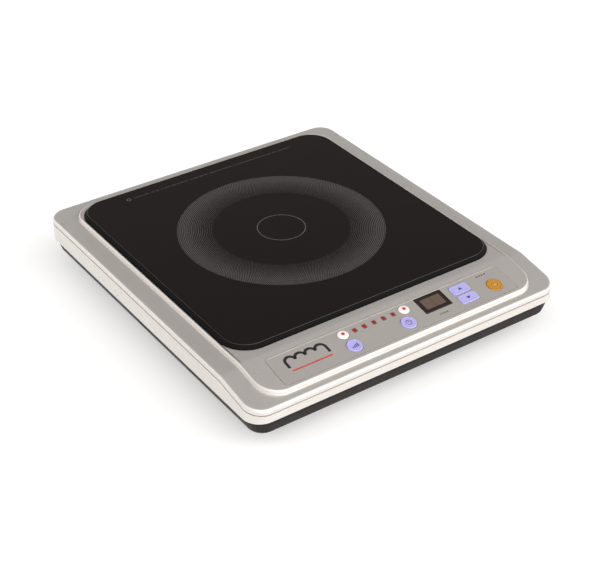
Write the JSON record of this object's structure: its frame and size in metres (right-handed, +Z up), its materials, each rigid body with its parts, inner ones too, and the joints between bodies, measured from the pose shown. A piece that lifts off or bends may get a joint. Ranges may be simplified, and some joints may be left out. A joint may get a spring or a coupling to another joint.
{
  "type": "portable induction hob",
  "caption": "Free-standing single-zone induction hob: black glass on a silver two-tier cover, sloped key panel in front, black base on rubber feet, coil, boards and fan inside.",
  "frame": {"origin": "on the ground, under the middle of the hob", "axes": "+X to the right as seen by the cook, +Y to the back, away from the control panel, +Z up"},
  "size_m": [0.325, 0.361, 0.0635],
  "materials": {
    "silver_case": "satin silver paint on moulded plastic",
    "black_base": "fine grained, moulded",
    "black_glass": "polished black glass-ceramic with a grey printed zone",
    "black_silicone": "matt",
    "printed_film": "printed film, satin",
    "dark_window": "tinted, polished",
    "orange_key": "satin",
    "lavender_key": "satin",
    "red_lens": "clear-toned, polished",
    "white_lens": "polished",
    "mica": "pressed insulation sheet",
    "copper": "enamelled winding",
    "dark_plastic": "moulded",
    "ferrite": "dull, sintered",
    "white_plastic": "moulded",
    "board": "solder mask on laminate",
    "aluminium_fins": "extruded",
    "blue_film": "potted box",
    "grey_film": "potted box",
    "steel_screw": "zinc plated",
    "black_rubber": "matt"
  },
  "bodies": {
    "case": {"glass_plate": "black_glass", "glass_seal": "black_silicone", "top_cover": "silver_case", "skirt_frame": "silver_case", "base_pan": "black_base", "panel_overlay": "printed_film", "display_window": "dark_window", "indicator_lens_1": "red_lens", "indicator_lens_2": "red_lens", "indicator_lens_3": "red_lens", "indicator_lens_4": "red_lens", "indicator_lens_5": "red_lens", "mode_lens_left": "white_lens", "mode_lens_right": "white_lens", "mica_sheet": "mica", "coil_winding": "copper", "coil_former": "dark_plastic", "ferrite_bar_1": "ferrite", "ferrite_bar_2": "ferrite", "ferrite_bar_3": "ferrite", "ferrite_bar_4": "ferrite", "ferrite_bar_5": "ferrite", "ferrite_bar_6": "ferrite", "coil_sensor": "white_plastic", "power_board": "board", "heatsink": "aluminium_fins", "igbt": "dark_plastic", "bridge_rectifier": "dark_plastic", "resonant_capacitor": "blue_film", "smoothing_capacitor": "grey_film", "filter_capacitor": "blue_film", "choke": "copper", "terminal_block": "white_plastic", "buzzer": "dark_plastic", "control_board": "board", "display_module": "white_plastic", "switch_power": "dark_plastic", "switch_round_left": "dark_plastic", "switch_round_right": "dark_plastic", "switch_up": "dark_plastic", "switch_down": "dark_plastic", "ribbon_cable": "white_plastic", "fan_frame": "dark_plastic", "cord_gland": "black_rubber", "foot_1": "black_rubber", "foot_2": "black_rubber", "foot_3": "black_rubber", "foot_4": "black_rubber", "case_screw_1": "steel_screw", "case_screw_2": "steel_screw", "case_screw_3": "steel_screw", "case_screw_4": "steel_screw"},
    "power_key": {"key_power": "orange_key"},
    "round_left_key": {"key_round_left": "lavender_key"},
    "round_right_key": {"key_round_right": "lavender_key"},
    "up_key": {"key_up": "lavender_key"},
    "down_key": {"key_down": "lavender_key"},
    "fan": {"fan_rotor": "dark_plastic"}
  },
  "joints": [
    {"name": "power_press", "type": "slide", "parent": "case", "child": "power_key", "axis": [0, 0.1788, -0.9839], "range_m": [0, 0.0006], "stiffness_N_per_m": 1000},
    {"name": "round_left_press", "type": "slide", "parent": "case", "child": "round_left_key", "axis": [0, 0.1788, -0.9839], "range_m": [0, 0.0006], "stiffness_N_per_m": 1000},
    {"name": "round_right_press", "type": "slide", "parent": "case", "child": "round_right_key", "axis": [0, 0.1788, -0.9839], "range_m": [0, 0.0006], "stiffness_N_per_m": 1000},
    {"name": "up_press", "type": "slide", "parent": "case", "child": "up_key", "axis": [0, 0.1788, -0.9839], "range_m": [0, 0.0006], "stiffness_N_per_m": 1000},
    {"name": "down_press", "type": "slide", "parent": "case", "child": "down_key", "axis": [0, 0.1788, -0.9839], "range_m": [0, 0.0006], "stiffness_N_per_m": 1000},
    {"name": "fan_spin", "type": "hinge", "parent": "case", "child": "fan", "pos_m": [-0.062, 0.088, 0.025], "axis": [0, 0, 1], "continuous": true}
  ]
}
